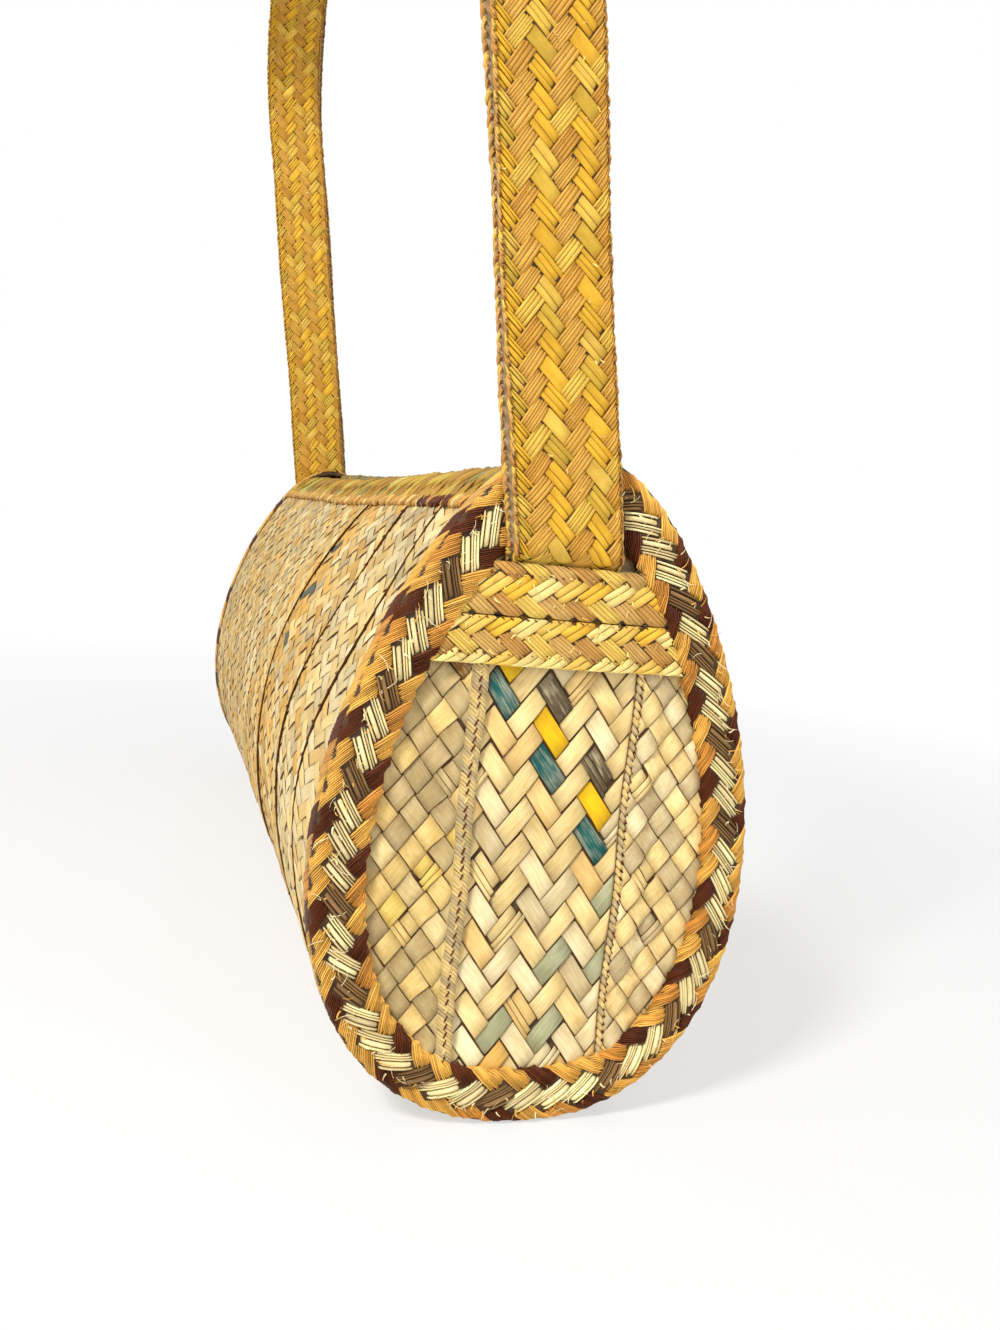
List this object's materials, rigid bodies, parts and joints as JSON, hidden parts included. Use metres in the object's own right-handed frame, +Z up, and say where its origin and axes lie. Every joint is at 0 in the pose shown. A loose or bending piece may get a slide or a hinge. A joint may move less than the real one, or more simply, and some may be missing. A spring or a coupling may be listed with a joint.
{
  "type": "straw barrel bag",
  "caption": "Egg-ended barrel bag of plaited palm straw with an open mouth along the top and one long doubled strap that folds down along the barrel.",
  "frame": {"origin": "on the ground, under the middle of the barrel between its two ends", "axes": "+X along the barrel to its right end, +Y from the front wall to the back wall, +Z up; the mouth is along the top and the strap stands up over it"},
  "size_m": [0.4828, 0.137, 0.5012],
  "materials": {
    "natural_straw": "dry plaited palm straw, satin",
    "ochre_straw": "dyed palm straw, satin",
    "yellow_straw": "dyed palm straw, satin",
    "brown_straw": "dyed palm straw, matt"
  },
  "bodies": {
    "bag": {"wall_strip_1": "natural_straw", "wall_strip_2": "natural_straw", "wall_strip_3": "natural_straw", "wall_strip_4": "natural_straw", "wall_strip_5": "natural_straw", "wall_strip_6": "natural_straw", "wall_strip_7": "natural_straw", "wall_strip_8": "natural_straw", "front_lip_braid": "ochre_straw", "back_lip_braid": "ochre_straw", "right_end_strip_middle": "natural_straw", "right_end_strip_front": "natural_straw", "right_end_strip_back": "natural_straw", "right_band_lower": "yellow_straw", "right_band_upper": "yellow_straw", "right_rim_face_braid": "natural_straw", "right_rim_wall_braid": "brown_straw", "right_strap_root_inner": "yellow_straw", "right_strap_root_outer": "yellow_straw", "left_end_strip_middle": "natural_straw", "left_end_strip_front": "natural_straw", "left_end_strip_back": "natural_straw", "left_band_lower": "yellow_straw", "left_band_upper": "yellow_straw", "left_rim_face_braid": "natural_straw", "left_rim_wall_braid": "brown_straw", "left_strap_root_inner": "yellow_straw", "left_strap_root_outer": "yellow_straw"},
    "right_leg": {"right_strap_leg_inner": "yellow_straw", "right_strap_leg_outer": "yellow_straw"},
    "crown": {"strap_crown_inner": "yellow_straw", "strap_crown_outer": "yellow_straw"},
    "left_leg": {"left_strap_leg_inner": "yellow_straw", "left_strap_leg_outer": "yellow_straw"}
  },
  "joints": [
    {"name": "strap_fold", "type": "hinge", "parent": "bag", "child": "right_leg", "pos_m": [0.23985, -0.0069, 0.2024], "axis": [0, 0.9882, 0.153], "range_deg": [-72, 72]},
    {"name": "left_leg_fold", "type": "hinge", "parent": "bag", "child": "left_leg", "pos_m": [-0.23985, -0.0069, 0.2024], "axis": [0, 0.9882, 0.153], "range_deg": [-72, 72]},
    {"name": "crown_bend", "type": "hinge", "parent": "right_leg", "child": "crown", "pos_m": [0.23985, -0.03673, 0.3951], "axis": [0, 0.9882, 0.153], "range_deg": [-72, 72]}
  ],
  "couplings": [
    {"joint": "left_leg_fold", "follows": "strap_fold", "ratio": 1},
    {"joint": "crown_bend", "follows": "strap_fold", "ratio": -1}
  ]
}
